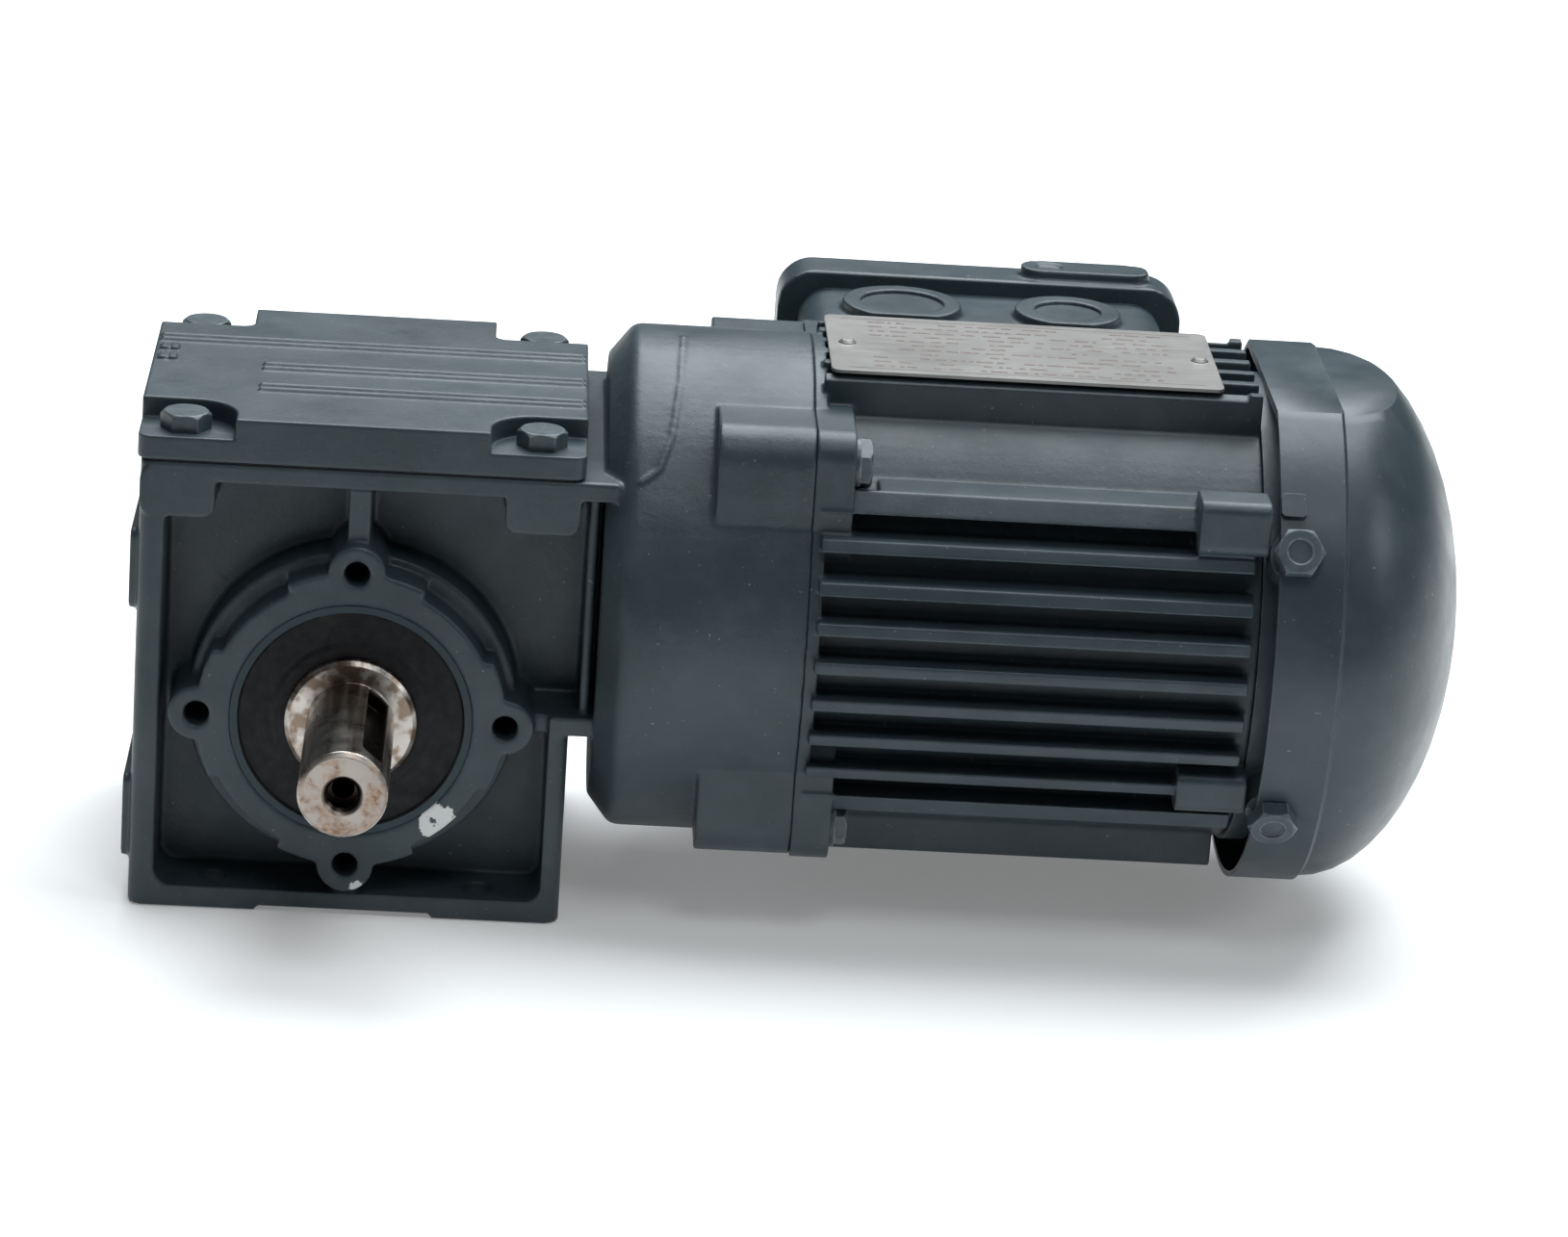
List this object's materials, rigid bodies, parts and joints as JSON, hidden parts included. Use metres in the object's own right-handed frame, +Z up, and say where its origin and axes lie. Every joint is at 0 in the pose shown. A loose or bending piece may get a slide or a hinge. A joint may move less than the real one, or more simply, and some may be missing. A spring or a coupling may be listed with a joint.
{
  "type": "right angle geared motor",
  "caption": "Compact right-angle gear unit with a keyed solid output shaft, flange-driven by a finned, fan-cooled electric motor with a side terminal box.",
  "frame": {"origin": "centre of the four foot holes, on the base plane", "axes": "+X along the motor axis towards the fan, -Y out along the output shaft, +Z up"},
  "size_m": [0.3075, 0.2009, 0.1306],
  "materials": {
    "casing_paint": "satin blue-grey enamel on a casting",
    "motor_paint": "satin blue-grey enamel on finned castings",
    "guard_paint": "satin blue-grey enamel on pressed sheet",
    "box_paint": "satin blue-grey enamel on die castings",
    "bolt_paint": "steel screws painted over with the casing",
    "bolt_steel": "dull zinc plate",
    "shaft_steel": "ground steel with light stains",
    "spring_steel": "blackened spring steel",
    "bearing_steel": "ground and polished",
    "gear_steel": "hardened and ground",
    "gear_bronze": "machined bronze",
    "seal_rubber": "matte black",
    "gasket_paper": "dark gasket sheet",
    "cap_paint": "satin blue-grey enamel on pressed sheet",
    "shield_aluminium": "as cast",
    "lamination_steel": "stacked sheet",
    "winding_copper": "enamelled copper wire",
    "fan_plastic": "moulded black plastic",
    "block_plastic": "moulded dark resin",
    "terminal_brass": "bright brass",
    "nameplate_metal": "bare metal sheet"
  },
  "bodies": {
    "motor_and_casing": {"cable_entry_plugs": "box_paint", "cover_bolts": "bolt_paint", "cover_gasket": "gasket_paper", "drive_end_shield": "shield_aluminium", "fan_guard": "guard_paint", "flange_bolts": "bolt_paint", "front_output_bearing_outer_ring": "bearing_steel", "gear_housing": "casing_paint", "guard_screws": "bolt_paint", "housing_cover": "casing_paint", "input_bearing_outer_ring": "bearing_steel", "input_oil_seal": "seal_rubber", "nameplate": "nameplate_metal", "nameplate_rivets": "nameplate_metal", "output_oil_seal": "seal_rubber", "preload_spring": "spring_steel", "rear_closing_cap": "cap_paint", "rear_end_shield": "motor_paint", "rear_motor_bearing_outer_ring": "bearing_steel", "rear_output_bearing_outer_ring": "bearing_steel", "stator_core": "lamination_steel", "stator_housing": "motor_paint", "stator_winding": "winding_copper", "terminal_block": "block_plastic", "terminal_box": "box_paint", "terminal_box_gasket": "seal_rubber", "terminal_box_lid": "box_paint", "terminal_lid_screws": "bolt_paint", "terminal_links": "terminal_brass", "terminal_studs": "terminal_brass", "tie_bolts": "bolt_steel"},
    "rotor": {"input_pinion": "gear_steel", "rotor_shaft": "shaft_steel", "rotor_core": "lamination_steel", "rotor_end_rings": "shield_aluminium", "cooling_fan": "fan_plastic", "fan_circlip": "spring_steel", "input_bearing_inner_ring": "bearing_steel", "rear_motor_bearing_inner_ring": "bearing_steel"},
    "output_line": {"output_shaft": "shaft_steel", "output_gear": "gear_bronze", "gear_key": "shaft_steel", "shaft_circlip": "spring_steel", "front_output_bearing_inner_ring": "bearing_steel", "rear_output_bearing_inner_ring": "bearing_steel"},
    "front_output_balls": {"front_output_bearing_balls": "bearing_steel"},
    "rear_output_balls": {"rear_output_bearing_balls": "bearing_steel"},
    "input_balls": {"input_bearing_balls": "bearing_steel"},
    "rear_motor_balls": {"rear_motor_bearing_balls": "bearing_steel"}
  },
  "joints": [
    {"name": "rotor_spin", "type": "hinge", "parent": "motor_and_casing", "child": "rotor", "pos_m": [0.1, 0, 0.0708], "axis": [1, 0, 0], "continuous": true},
    {"name": "output_spin", "type": "hinge", "parent": "motor_and_casing", "child": "output_line", "pos_m": [0, 0, 0.048], "axis": [0, 1, 0], "continuous": true},
    {"name": "front_output_balls_spin", "type": "hinge", "parent": "motor_and_casing", "child": "front_output_balls", "pos_m": [0, -0.0339, 0.048], "axis": [0, 1, 0], "continuous": true},
    {"name": "rear_output_balls_spin", "type": "hinge", "parent": "motor_and_casing", "child": "rear_output_balls", "pos_m": [0, 0.0339, 0.048], "axis": [0, 1, 0], "continuous": true},
    {"name": "input_balls_spin", "type": "hinge", "parent": "motor_and_casing", "child": "input_balls", "pos_m": [0.052, 0, 0.0708], "axis": [1, 0, 0], "continuous": true},
    {"name": "rear_motor_balls_spin", "type": "hinge", "parent": "motor_and_casing", "child": "rear_motor_balls", "pos_m": [0.198, 0, 0.0708], "axis": [1, 0, 0], "continuous": true}
  ],
  "couplings": [
    {"joint": "output_spin", "follows": "rotor_spin", "ratio": 0.073171},
    {"joint": "front_output_balls_spin", "follows": "rotor_spin", "ratio": 0.030476},
    {"joint": "rear_output_balls_spin", "follows": "rotor_spin", "ratio": 0.030476},
    {"joint": "input_balls_spin", "follows": "rotor_spin", "ratio": 0.381},
    {"joint": "rear_motor_balls_spin", "follows": "rotor_spin", "ratio": 0.381}
  ]
}
